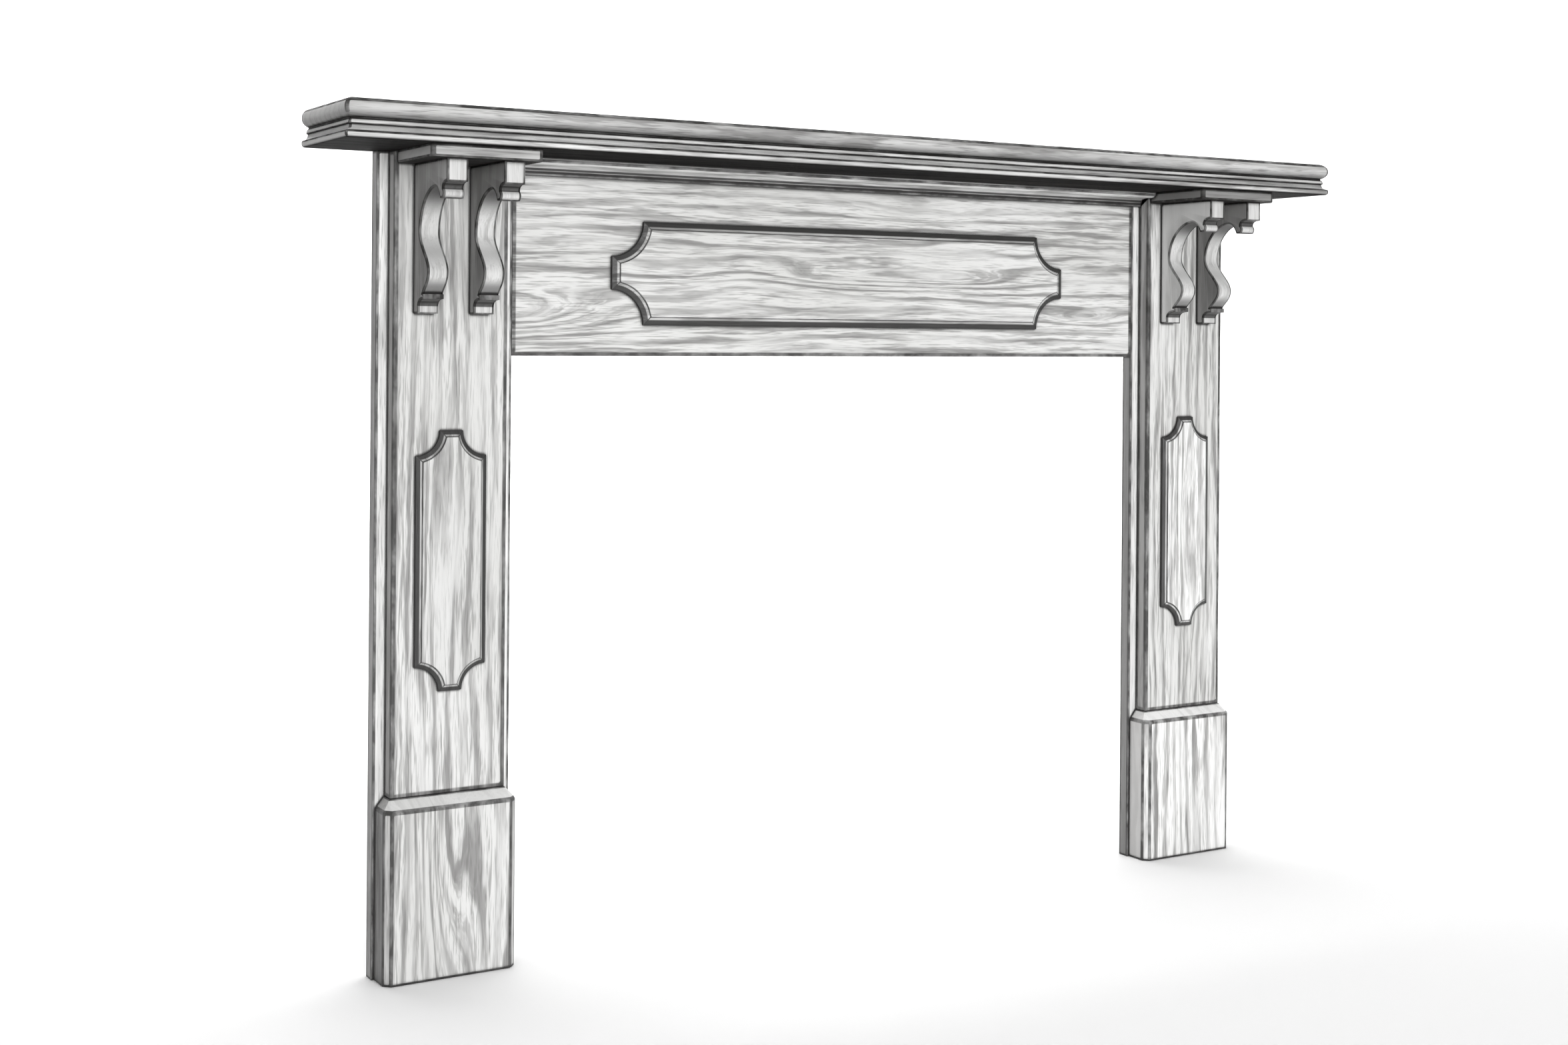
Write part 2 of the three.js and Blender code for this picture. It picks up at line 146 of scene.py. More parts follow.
def makeOak(name, *changes):
    oak = dict(limedOak)
    for change in changes:
        oak.update(change)
    colour = {key: hexToLinear(value) for key, value in oak.items() if str(value).startswith("#")}
    material = bpy.data.materials.new(f"grey limed oak, {name}")
    material.use_nodes = True
    tree = material.node_tree
    tree.nodes.clear()
    add = partial(addNode, tree)
    soft = {"interpolation_type": "SMOOTHSTEP"}
    cut = {key[:-3]: {1: value[0], 2: value[1]} for key, value in oak.items() if key.endswith("Cut")}

    # millimetres along, across and through the board, shifted so that no two boards match
    place = add("TexCoord", {}, out="Object")
    place = add("VectorMath", {0: place, 1: (1 / mm,) * 3}, operation="MULTIPLY")
    axis = ["XYZ".index(letter) for letter in oak["axes"]]
    along, across, through = [add("SeparateXYZ", {0: place}, out=i) for i in axis]
    board = add("CombineXYZ", {0: along, 1: across, 2: through})
    shift = tuple(oak["seed"] * length for length in oak["boardShift"])

    def cloud(where, length, width, detail):
        spot = add("VectorMath", {0: where, 1: shift}, operation="ADD")
        spot = add("VectorMath", {0: spot, 1: (1 / length, 1 / width, 1 / width)}, operation="MULTIPLY")
        return add("TexNoise", {"Vector": spot, "Scale": 1.0, "Detail": float(detail), "Roughness": 0.55})

    # growth rings waver along the board and turn aside round the eyes of its figure
    ring = add("Math", {0: through, 1: oak["ringTilt"], 2: across}, operation="MULTIPLY_ADD")
    for detail, (length, width, swing) in enumerate(oak["sway"], 1):
        sway = cloud(board, length, width, detail)
        ring = add("Math", {0: ring, 1: add("MapRange", {0: sway, **cut["sway"], 3: -swing, 4: swing})})
    for eyeAlong, eyeAcross, before, after, width, lift in oak["eyes"]:
        away = add("VectorMath", {0: board, 1: (eyeAlong, eyeAcross, 0.0)}, operation="SUBTRACT")
        halves = [add("VectorMath", {0: away, 1: (1 / length, sign / width, 0.0)}, operation="MULTIPLY")
                  for length, sign in ((-before, -1), (after, 1))]
        away = add("VectorMath", {0: halves[0], 1: halves[1]}, operation="MAXIMUM")
        away = add("VectorMath", {0: away, 1: away}, out="Value", operation="DOT_PRODUCT")
        swell = add("Math", {0: add("Math", {0: away, 1: -1.0}, operation="MULTIPLY")}, operation="EXPONENT")
        ring = add("Math", {0: swell, 1: lift, 2: ring}, operation="MULTIPLY_ADD")
    spread = add("Math", {0: across, 1: oak["strokeSpread"]}, operation="MULTIPLY")
    grain = add("CombineXYZ", {0: along, 1: ring, 2: spread})
    runs, pores = cloud(grain, *oak["strokeSize"], 3), cloud(board, *oak["hairSize"], 2)
    band = cloud(grain, *oak["bandSize"], 2)
    band = add("MapRange", {0: band, **cut["band"], 3: oak["bandFloor"]}, **soft)
    wave = add("Math", {0: ring, 1: 1 / oak["ringWidth"]}, operation="MULTIPLY")
    wave = add("Math", {0: wave, 1: 1.0}, operation="PINGPONG")
    rings = add("Math", {0: add("MapRange", {0: wave, **cut["ring"]}, **soft),
                         1: add("MapRange", {0: runs, **cut["break"]})}, operation="MULTIPLY")
    strokes = add("MapRange", {0: runs, **cut["stroke"]}, **soft)
    hairs = add("MapRange", {0: pores, **cut["hair"]}, **soft)

    # the way a face looks tells board edges, cut ends and undersides apart
    facing = add("NewGeometry", {}, out="Normal")
    faceAxis = [add("SeparateXYZ", {0: facing}, out=i) for i in range(3)]
    endOn = add("Math", {0: faceAxis[axis[0]]}, operation="ABSOLUTE")
    edgeOn = add("Math", {0: faceAxis[0]}, operation="ABSOLUTE")
    underside = add("Math", {0: faceAxis[2], 1: -1.0}, operation="MULTIPLY")
    showing = add("MapRange", {0: endOn, **cut["show"], 3: 1.0, 4: oak["endShowing"]}, **soft)
    inked = add("Math", {0: band, 1: showing}, operation="MULTIPLY")

    # lime over the grain, stain on cut ends and sides, unlimed backs, painted shade on sides, backs and
    # undersides
    wash = add("MapRange", {0: cloud(board, *oak["washSize"], 2), **cut["wash"]})
    tone = add("MixRGB", {0: wash, 1: colour["pale"], 2: colour["thin"]})
    for ink, strength, shade in ((rings, "ringStrength", "latewood"), (strokes, "strokeStrength", "stroke"),
                                 (hairs, "hairStrength", "hair")):
        amount = add("Math", {0: ink, 1: oak[strength]}, operation="MULTIPLY")
        amount = add("Math", {0: amount, 1: inked}, operation="MULTIPLY")
        tone = add("MixRGB", {0: amount, 1: tone, 2: colour[shade]})
    for turned, kind, shade in ((edgeOn, "edge", "edgeStain"), (endOn, "end", "endGrain"),
                                (faceAxis[1], "back", "sawnBack"), (underside, "smoke", "smoke")):
        if oak[kind + "Strength"]:
            amount = add("MapRange", {0: turned, **cut[kind], 4: oak[kind + "Strength"]}, **soft)
            tone = add("MixRGB", {0: amount, 1: tone, 2: colour[shade]})
            shadedUnderside = amount                                  # the last of them

    # rubbed arrises, then wax and painted shade in the quirks and corners
    arris, quirk = [add("Attribute", {}, out="Fac", attribute_name=name) for name in ("arris", "quirk")]
    arris = add("MapRange", {0: arris, **cut["rub"], 4: oak["rubStrength"]}, **soft)
    worn = add("MapRange", {0: cloud(board, *oak["wearSize"], 3), **cut["wear"], 3: oak["wearFloor"]})
    rub = add("Math", {0: arris, 1: worn}, operation="MULTIPLY")
    tone = add("MixRGB", {0: rub, 1: tone, 2: colour["rubbed"]})
    # painted shade: corners darken as far as ambient occlusion finds them hidden from the light
    corner = add("AmbientOcclusion", {"Distance": oak["crevice"] * mm}, out="AO", samples=8)
    wax = add("MapRange", {0: corner, **cut["corner"], 3: oak["waxStrength"], 4: 0.0})
    waxedAndShaded = [add("MapRange", {0: quirk, **cut["wax"], 4: oak["waxStrength"]}, **soft)]
    for level, strength in oak["waxLines"]:
        fade = {1: level - oak["waxFade"], 2: level + oak["waxFade"]}
        waxedAndShaded.append(add("MapRange", {0: through, **fade, 4: strength}))
    for layer in waxedAndShaded:
        wax = add("Math", {0: wax, 1: layer}, operation="MAXIMUM")
    tone = add("MixRGB", {0: wax, 1: tone, 2: colour["wax"]})

    # open grain stands a little below the surface and takes less polish
    ink = add("Math", {0: rings, 1: strokes}, operation="MAXIMUM")
    ink = add("Math", {0: ink, 1: hairs}, operation="MAXIMUM")
    ink = add("Math", {0: ink, 1: inked}, operation="MULTIPLY")
    polish = add("MapRange", {0: ink, 3: oak["roughness"], 4: oak["roughness"] + oak["poreRoughness"]})
    plane = add("Math", {0: cloud(board, *oak["planeSize"], 1), 1: oak["planeDepth"]}, operation="MULTIPLY")
    height = add("Math", {0: ink, 1: -oak["poreDepth"], 2: plane}, operation="MULTIPLY_ADD")
    bump = add("Bump", {"Strength": oak["bumpStrength"], "Distance": mm, "Height": height})
    sheen = {"Specular IOR Level": 0.5, "Coat Weight": 0.1}
    if oak["smokeStrength"]:
        # the painted shade on undersides is made matt, and so are the arrises beside it, where the wax is
        # gone
        matt = add("Math", {0: shadedUnderside, 1: rub}, operation="MAXIMUM")
        polish = add("Math", {0: matt, 1: oak["sootRoughness"], 2: polish}, operation="MULTIPLY_ADD")
        sheen = {key: add("MapRange", {0: matt, 3: most, 4: oak["sheenLeft"] * most})
                 for key, most in sheen.items()}
    shader = add("BsdfPrincipled", {"Base Color": tone, "Roughness": polish, "Normal": bump, "IOR": 1.5,
                                    "Metallic": 0.0, "Coat Roughness": 0.3, **sheen})
    add("OutputMaterial", {"Surface": shader})
    return material


# mesh making

def finishPiece(name, mesh, material, node, reach, rubbedBand=(0.0, 0.0)):
    # reach is how far, in millimetres, rubbing, wax and painted shade spread from an arris or a quirk,
    # rubbedBand is a lowest and highest level between which hands have rubbed a round edge
    bm = bmesh.new()
    bm.from_mesh(mesh)
    bmesh.ops.remove_doubles(bm, verts=bm.verts, dist=weldGap)
    bmesh.ops.dissolve_degenerate(bm, edges=bm.edges, dist=weldGap)
    bmesh.ops.recalc_face_normals(bm, faces=bm.faces)
    lines = {"arris": [vert.co.copy() for vert in bm.verts if rubbedBand[0] < vert.co.z < rubbedBand[1]],
             "quirk": []}
    for edge in bm.edges:
        turn = math.degrees(edge.calc_face_angle_signed(0.0))
        if abs(turn) > arrisTurn:
            lines["arris" if turn > 0 else "quirk"] += [vert.co.copy() for vert in edge.verts]
    bm.to_mesh(mesh)
    bm.free()
    for key, points in lines.items():
        tree = kdtree.KDTree(len(points))
        for i, point in enumerate(points):
            tree.insert(point, i)
        tree.balance()
        gaps = [tree.find(vert.co)[2] if points else reach * mm for vert in mesh.vertices]
        weights = np.clip(1 - np.array(gaps) / (reach * mm), 0, 1).astype(np.float32)
        mesh.attributes.new(key, "FLOAT", "POINT").data.foreach_set("value", weights)
    mesh.shade_smooth()
    mesh.set_sharp_from_angle(angle=math.radians(sharpTurn))
    mesh.materials.append(material)
    piece = bpy.data.objects.new(name, mesh)
    bpy.context.scene.collection.objects.link(piece)
    flats = piece.modifiers.new("flat faces stay flat", "WEIGHTED_NORMAL")
    flats.keep_sharp = True
    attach(piece, "root")
    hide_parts(node)


def newMesh(name, verts, faces):
    mesh = bpy.data.meshes.new(name)
    mesh.from_pydata([tuple(v) for v in verts], [], faces)
    mesh.update()
    return mesh


def ringLoft(name, rings, reach):
    # closed body through rings of equal counts, with extra rows where rubbing, wax and painted shade fade out
    reach = reach * mm
    longSpan, mostShare = 1.5 * reach, 0.33
    count = len(rings[0])
    spans = [(rings[0][(i + 1) % count] - rings[0][i]).length for i in range(count)]
    filled = []
    for ring in rings:
        points = []
        for i, span in enumerate(spans):
            here, after = ring[i], ring[(i + 1) % count]
            points.append(here)
            if span > longSpan:
                share = min(reach / max((after - here).length, 1e-6), mostShare)
                points += [here.lerp(after, share), here.lerp(after, 1 - share)]
        if filled:
            gap = max((a - b).length for a, b in zip(filled[-1], points))
            if gap > longSpan:
                before = filled[-1]
                near = min(reach / gap, mostShare)
                for share in (near, 1 - near):
                    filled.append([a.lerp(b, share) for a, b in zip(before, points)])
        filled.append(points)
    count = len(filled[0])
    verts = [v for ring in filled for v in ring]
    faces = []
    for r in range(len(filled) - 1):
        for i in range(count):
            j = (i + 1) % count
            faces.append((r * count + i, r * count + j, (r + 1) * count + j, (r + 1) * count + i))
    last = (len(filled) - 1) * count
    faces.append(tuple(reversed(range(count))))
    faces.append(tuple(range(last, last + count)))
    return newMesh(name, verts, faces)


def plank(name, low, high, arris, reach, step, seed):
    # board with arrises eased by a radius that wanders along them, as hand work and wear leave it
    low, high = np.array(low), np.array(high)
    least, most = arrisWander
    rows = []
    for axis in range(3):
        span = high[axis] - low[axis]
        edge = np.array([*arrisRows, 1.0 + reach / (arris * most)])
        edge *= min(arris * most * mm, span / 8)
        inner = np.linspace(edge[-1], span - edge[-1], max(2, int(span / (step * mm))))
        rows.append(low[axis] + np.unique(np.concatenate([edge, inner, span - edge]).round(7)))
    verts, faces = [], []
    for axis in range(3):
        u, v = [a for a in range(3) if a != axis]
        for side in (low[axis], high[axis]):
            start, wide = len(verts), len(rows[v])
            for pu in rows[u]:
                for pv in rows[v]:
                    point = np.zeros(3)
                    point[[axis, u, v]] = side, pu, pv
                    verts.append(point)
            for i in range(len(rows[u]) - 1):
                for j in range(wide - 1):
                    a = start + i * wide + j
                    faces.append((a, a + 1, a + wide + 1, a + wide))
    eased = []
    for point in verts:
        wander = 0.5 + 0.5 * noise.noise(Vector(point) * wanderRate + Vector((seed, 0, 0)))
        radius = min(lerp(least, most, wander) * arris * mm, (high - low).min() / 3)
        inner = np.clip(point, low + radius, high - radius)
        away = point - inner
        eased.append(inner + radius * away / max(np.linalg.norm(away), 1e-9))
    return newMesh(name, eased, faces)


def bezier(*points, steps):
    # points along a Bezier curve, without its first point
    curve = []
    for i in range(1, steps + 1):
        level = [Vector(p) for p in points]
        while len(level) > 1:
            level = [a.lerp(b, i / steps) for a, b in zip(level, level[1:])]
        curve.append(tuple(level[0]))
    return curve


# shelf board and the moulding under its edge

def roundedFront(left, right, front, back, radius, height, steps=6):
    # plan of a board against the wall with rounded front corners
    points = [(left, back)]
    for centre, start in ((left + radius, math.pi), (right - radius, 1.5 * math.pi)):
        for i in range(steps + 1):
            angle = start + i / steps * math.pi / 2
            points.append((centre + radius * math.cos(angle), front + radius * (1 + math.sin(angle))))
    points.append((right, back))
    return [Vector((x, y, height)) for x, y in points]


shelfBoard = {
    "corner": 3.0, "noseSteps": 26, "noseTurn": 80.0, "reach": 3.0,
    "rubbedFrom": 42.0,       # hands have rubbed the nose from this angle up
    # the painted shade on undersides spreads over the whole lower half of the nose
    "oak": {"seed": 1.0, "pale": "#d4d4d3", "thin": "#bcbcbb", "smokeStrength": 0.6, "edgeStrength": 0.15,
            "smokeCut": (-0.1, 0.9), "hairStrength": 0.6, "endStrength": 0.55, "endShowing": 0.4},
}


def makeShelfBoard():
    low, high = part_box("mantel_shelf")
    radius, turn = (high.z - low.z) / 2, math.radians(shelfBoard["noseTurn"])
    profile = []
    for i in range(shelfBoard["noseSteps"] + 1):
        angle = lerp(-turn, turn, i / shelfBoard["noseSteps"])
        rise = 1 + math.sin(angle) / math.sin(turn)
        profile.append((radius * (1 - math.cos(angle)), low.z + radius * rise))
    rubbedLevel = low.z + radius * (1 + math.sin(math.radians(shelfBoard["rubbedFrom"])))
    rings = []
    for inset, height in profile:
        rings.append(roundedFront(low.x + inset, high.x - inset, low.y + inset, high.y,
                                  shelfBoard["corner"] * mm, height))
    inset += 2 * shelfBoard["reach"] * mm                  # the flat of the top, clear of every arris
    rings.append(roundedFront(low.x + inset, high.x - inset, low.y + inset, high.y - inset,
                              shelfBoard["corner"] * mm, high.z))
    oak = makeOak("shelf board", flatGrain, shelfBoard["oak"])
    mesh = ringLoft("shelfBoard", rings, shelfBoard["reach"])
    finishPiece("shelfBoard", mesh, oak, "mantel_shelf", shelfBoard["reach"],
                (rubbedLevel, high.z - 0.01 * mm))         # all but the flat of the top


shelfMoulding = {
    "corner": 2.0, "reach": 1.8,
    "lipRadius": 5.0, "lipHeight": 9.0, "lipArris": 0.9,
    "coveBottom": (2.0, 10.0), "coveTop": (9.0, 19.0),     # inset and height
    "beadBottom": (7.0, 20.0), "beadTop": (10.0, 27.0),
    "oak": {"seed": 2.0, "smokeStrength": 1.0, "edgeStrength": 0.4, "pale": "#e2e2e1", "thin": "#cfcfce"},
}


def quarterTurn(start, end, levelFirst):
    corner = (end[0], start[1]) if levelFirst else (start[0], end[1])
    roundness = 0.5523                                     # pull that makes a Bezier a quarter circle
    pulls = [tuple(Vector(p).lerp(Vector(corner), roundness)) for p in (start, end)]
    return [start] + bezier(start, *pulls, end, steps=8)


def makeShelfMoulding():
    s = shelfMoulding
    low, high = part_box("shelf_moulding")
    lip, ease = s["lipHeight"], s["lipArris"]
    profile = quarterTurn((s["lipRadius"], 0.0), (0.0, s["lipRadius"]), True)
    profile += bezier((0.0, lip - ease), (0.0, lip), (ease, lip), steps=3)
    profile += quarterTurn(s["coveBottom"], s["coveTop"], True)
    profile += quarterTurn(s["beadBottom"], s["beadTop"], False)
    profile.append((s["beadTop"][0], (high.z - low.z) / mm))
    rings = []
    for inset, up in profile:
        rings.append(roundedFront(low.x + inset * mm, high.x - inset * mm, low.y + inset * mm, high.y,
                                  s["corner"] * mm, low.z + up * mm))
    oak = makeOak("shelf moulding", lyingGrain, s["oak"])
    mesh = ringLoft("shelfMoulding", rings, s["reach"])
    finishPiece("shelfMoulding", mesh, oak, "shelf_moulding", s["reach"])


# bed moulding between the pilasters, under the shelf

bedMoulding = {
    "fillet": 5.0, "middle": (22.0, 14.0), "step": 3.0, "topFillet": 3.0,   # middle is projection and height
    "footStep": 1.0, "arris": 0.6, "gap": 0.3, "reach": 2.0,
    "oak": {"seed": 3.0, "pale": "#f4f4f3", "thin": "#ececeb", "crevice": 5.0},
}


def makeBedMoulding():
    s = bedMoulding
    low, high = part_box("bed_moulding")
    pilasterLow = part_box("pilaster_right")[0]
    projection, height = (high.y - low.y) / mm, (high.z - low.z) / mm
    fillet, ease, level = s["fillet"], s["arris"], s["middle"][1]
    foot, ovolo, top = fillet + s["footStep"], s["middle"][0] + s["step"], height - s["topFillet"]
    profile = [(0, 0), (fillet - ease, 0), (fillet, ease), (fillet, fillet), (foot, fillet)]
    profile += bezier((foot, fillet), (foot, level), s["middle"], steps=10)
    profile.append((ovolo, level))
    profile += bezier((ovolo, level), (projection, level), (projection, top), steps=10)
    profile += [(projection, height), (0, height)]

    # the ends are cut back to clear the pilasters
    notch = (high.y - pilasterLow.y) / mm + s["gap"]
    inner = pilasterLow.x - s["gap"] * mm
    ledge = min(h for d, h in profile if d >= notch)
    ends = [(d, h) if d >= notch else (notch, max(h, ledge)) for d, h in profile]
    rings = []
    for x, section in ((low.x, ends), (-inner, ends), (-inner, profile),
                       (inner, profile), (inner, ends), (high.x, ends)):
        rings.append([Vector((x, high.y - d * mm, low.z + h * mm)) for d, h in section])
    oak = makeOak("bed moulding", lyingGrain, s["oak"])
    mesh = ringLoft("bedMoulding", rings, s["reach"])
    finishPiece("bedMoulding", mesh, oak, "bed_moulding", s["reach"])


# frieze and the three raised panels

friezeBoard = {
    "arris": 1.2, "reach": 6.5, "step": 30.0, "seed": 4.0,
    "oak": {"eyes": ((-640.0, -84.0, 170.0, 170.0, 34.0, 78.0), (515.0, -80.0, 90.0, 60.0, 11.0, 22.0),
                     (-560.0, 20.0, 90.0, 90.0, 10.0, 12.0), (150.0, 96.0, 200.0, 200.0, 16.0, 14.0))},
}


def makePlank(name, node, slot, board, seed, *oakChanges):
    low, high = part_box(node)
    mesh = plank(name, low, high, board["arris"], board["reach"], board["step"], seed)
    oak = makeOak(name, *oakChanges, board["oak"], {"seed": seed})
    finishPiece(name, mesh, oak, node, board["reach"])


raisedPanel = {
    "edge": 4.0, "step": 1.5, "arris": 0.7, "reach": 1.4,
    "flatFrom": 2.8,                        # from the bevel
    "waxedAndShaded": 0.66, "waxStrength": 0.97,     # share of the bevel darkened by wax and painted shade, as its shaded outer wall
    "greyOver": 0.5, "greyStrength": 0.3,   # and thin wax with painted shade on the rest, to just over the shoulder
}
friezePanel = {
    "scoop": 55.0, "bevel": 12.0, "grain": lyingGrain,
    "oak": {"seed": 5.0, "eyes": ((150.0, -16.0, 420.0, 185.0, 19.0, 46.0),
                                  (-190.0, -26.0, 95.0, 95.0, 36.0, -24.0))},
}
pilasterPanelLeft = {
    "scoop": 37.0, "bevel": 9.0, "grain": standingGrain,
    "oak": {"seed": 6.0, "eyes": ((-440.0, -746.0, 190.0, 190.0, 14.0, 22.0),),
            "pale": "#dcdcdb", "thin": "#cbcbc9"},
}
pilasterPanelRight = {
    "scoop": 37.0, "bevel": 9.0, "grain": standingGrain,
    "oak": {"seed": 7.0, "eyes": ((-420.0, 716.0, 170.0, 170.0, 14.0, 22.0),),
            "pale": "#fafaf9", "thin": "#f3f3f2", "ringStrength": 0.55, "strokeStrength": 0.55},
}


def scoopedRing(width, height, scoop, inset, steps=16):
    radius = scoop + inset
    start = math.asin(inset / radius)
    points = []
    for signX, signZ in ((1, 1), (-1, 1), (-1, -1), (1, -1)):
        for i in range(steps + 1):
            sweep = lerp(start, math.pi / 2 - start, i / steps)
            angle = math.pi / 2 - sweep if signX * signZ > 0 else sweep
            points.append((signX * (width / 2 - radius * math.cos(angle)),
                           signZ * (height / 2 - radius * math.sin(angle))))
    return points


def makePanel(name, node, panel):
    low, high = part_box(node)
    centre = (low + high) / 2
    width, height, rise = [(high[a] - low[a]) / mm for a in (0, 2, 1)]
    edge, ease, bevel = raisedPanel["edge"], raisedPanel["arris"], panel["bevel"]
    shoulder = rise - raisedPanel["step"]
    profile = [(0.0, 0.0)] + bezier((0.0, edge - ease), (0.0, edge), (ease, edge), steps=3)
    profile += [(bevel, shoulder), (bevel, rise - ease)]
    profile += bezier((bevel, rise - ease), (bevel, rise), (bevel + ease, rise), steps=3)
    profile.append((bevel + raisedPanel["flatFrom"], rise))
    rings = []
    for inset, out in profile:
        ring = scoopedRing(width, height, panel["scoop"], inset)
        rings.append([Vector((centre.x + x * mm, high.y - out * mm, centre.z + z * mm)) for x, z in ring])
    waxLines = ((high.y / mm - lerp(edge, shoulder, raisedPanel["waxedAndShaded"]), raisedPanel["waxStrength"]),
                (high.y / mm - shoulder - raisedPanel["greyOver"], raisedPanel["greyStrength"]))
    oak = makeOak(name, panel["grain"], panel["oak"], {"edgeStrength": 0.0, "waxLines": waxLines})
    mesh = ringLoft(name, rings, raisedPanel["reach"])
    finishPiece(name, mesh, oak, node, raisedPanel["reach"])


# legs: back board, pilaster, plinth block and cap

legs = {   # the right leg kept more of its lime; caps and plinth sides carry painted shade, the right cap darkest under the shelf
    "left": {"seed": 0.0, "lime": {"pale": "#e3e3e2", "thin": "#d3d3d1"}, "swirl": 62.0,
             "plinth": {"edgeStain": "#403f3e"}, "cap": {"pale": "#d2d2d1", "thin": "#bebebd"}},
    "right": {"seed": 3.0, "lime": {"pale": "#e9e9e8", "thin": "#d9d9d7"}, "swirl": 18.0,
              "plinth": {"pale": "#fafaf9", "thin": "#f1f1f0", "edgeStain": "#bdbcbb"},
              "cap": {"pale": "#939392", "thin": "#7f7f7e"}},
}
legBoard = {
    "arris": 1.0, "reach": 3.5, "step": 40.0, "seed": 10.0,
    # paler ground than the legs: painted light where the pilaster shades the margin
    "oak": {"crevice": 4.0, "ringStrength": 0.25, "strokeStrength": 0.3, "pale": "#f8f8f7", "thin": "#f1f1f0",
            "edgeStain": "#5c5b5a", "edgeStrength": 0.85},
}
pilaster = {
    "arris": 1.6, "reach": 6.0, "step": 40.0, "seed": 10.7,
    "oak": {"crevice": 5.0, "edgeStain": "#858483", "edgeStrength": 0.7},
}
plinthBlock = {
    "chamfer": 10.0, "ledge": 1.0, "face": 252.0, "arris": 1.5, "reach": 3.2, "seed": 20.0,
    "bevelEase": (0.02, 0.09), "mostEase": 0.4,   # shares of the bevel's height and of the chamfer
    "swirl": (-65.0, -4.0, 175.0, 700.0, 34.0),   # below the top, off the middle, lengths and width
    "oak": {"ringStrength": 0.76, "endStrength": 0.0, "edgeStrength": 0.9},
}
cap = {
    "corner": 5.0, "arris": 1.5, "reach": 3.0, "seed": 30.0,
    "oak": {"smokeStrength": 0.95},
}


def chamferedRing(left, right, front, back, chamfer, height, ease):
    # plan of the plinth with chamfered front corners, every arris eased
    plan = [(left, back), (left, front + chamfer), (left + chamfer, front),
            (right - chamfer, front), (right, front + chamfer), (right, back)]
    points = [plan[0]]
    for before, here, after in zip(plan, plan[1:], plan[2:]):
        start, end = [Vector(here) + (Vector(p) - Vector(here)).normalized() * ease for p in (before, after)]
        points += [tuple(start)] + bezier(start, here, end, steps=3)
    points.append(plan[-1])
    return [Vector((x, y, height)) for x, y in points]


def makePlinth(name, side):
    leg = legs[side]
    low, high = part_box(f"plinth_block_{side}")
    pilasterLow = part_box(f"pilaster_{side}")[0]
    ease, chamfer, ledge, face = [plinthBlock[key] * mm for key in ("arris", "chamfer", "ledge", "face")]
    faceTop, (easeStart, easeEnd) = low.z + face, plinthBlock["bevelEase"]
    middle = roundMiddle * ease
    sideIn, frontIn = pilasterLow.x - low.x - ledge, pilasterLow.y - low.y - ledge
    rings = []
    for share, inset, height in ((0, ease, low.z), (0, middle, low.z + middle), (0, 0, low.z + ease),
                                 (0, 0, faceTop - ease), (easeStart, 0, faceTop - middle),
                                 (easeEnd, 0, lerp(faceTop, high.z, easeEnd)), (1, 0, high.z)):
        chamferHere = lerp(chamfer, ledge, share)
        rings.append(chamferedRing(low.x + inset + sideIn * share, high.x - inset - sideIn * share,
                                   low.y + inset + frontIn * share, high.y, chamferHere, height,
                                   min(ease, plinthBlock["mostEase"] * chamferHere)))
    seed = plinthBlock["seed"] + leg["seed"]
    down, off, *size = plinthBlock["swirl"]
    swirl = (high.z / mm + down, (low.x + high.x) / 2 / mm + off, *size, leg["swirl"])
    oak = makeOak(name, standingGrain, leg["lime"], plinthBlock["oak"], leg["plinth"],
                  {"seed": seed, "eyes": (swirl,)})
    mesh = ringLoft(name, rings, plinthBlock["reach"])
    finishPiece(name, mesh, oak, f"plinth_block_{side}", plinthBlock["reach"])


def makeCap(name, side):
    low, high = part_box(f"cap_{side}")
    ease, corner = cap["arris"] * mm, cap["corner"] * mm
    middle = roundMiddle * ease
    rings = []
    for inset, height in ((ease, low.z), (middle, low.z + middle), (0, low.z + ease),
                          (0, high.z - ease), (middle, high.z - middle), (ease, high.z)):
        rings.append(roundedFront(low.x + inset, high.x - inset, low.y + inset, high.y, corner, height))
    oak = makeOak(name, lyingGrain, cap["oak"], legs[side]["cap"], {"seed": cap["seed"] + legs[side]["seed"]})
    mesh = ringLoft(name, rings, cap["reach"])
    finishPiece(name, mesh, oak, f"cap_{side}", cap["reach"])


# scrolled corbels, as projections from the pilaster and heights above the foot

corbel = {
    "block": (131.0, 33.0),                     # projection and depth
    "bead": (117.0, 163.0, 177.0, 4.0),         # projection, bottom, top and bulge
    "lip": (103.0, 163.0), "apex": (83.0, 181.0), "hollow": (22.0, 118.0), "belly": (58.0, 60.0),
    "neck": (36.0, 29.0), "fillet": (40.0, 21.0, 28.0), "foot": (18.0, 10.0),
    "neckPull": 0.25, "bellyPull": 0.5, "waistPull": 0.35, "hollowPull": 0.55, "apexPull": 0.5,
    "curlPull": 0.55, "lipPull": (0.14, 0.36),  # how far each curve follows its tangents
    "arris": 1.2, "reach": 3.0, "sideInset": 3.4,
    "oak": {"ringStrength": 0.2, "strokeStrength": 0.35, "hairStrength": 0.25, "roughness": 0.34,
            "edgeStrength": 0.8, "smokeStrength": 0.7, "pale": "#dadad9", "thin": "#cfcfce"},
    "left_outer": {"seed": 40.0, "edgeStain": "#6e6d6c"},    # each corbel's sides carry their own painted shade, darker or lighter
    "left_inner": {"seed": 41.0, "edgeStain": "#696867"},
    "right_outer": {"seed": 44.0, "edgeStain": "#6c6b6a"},
    "right_inner": {"seed": 45.0, "edgeStain": "#d4d4d3"},
}


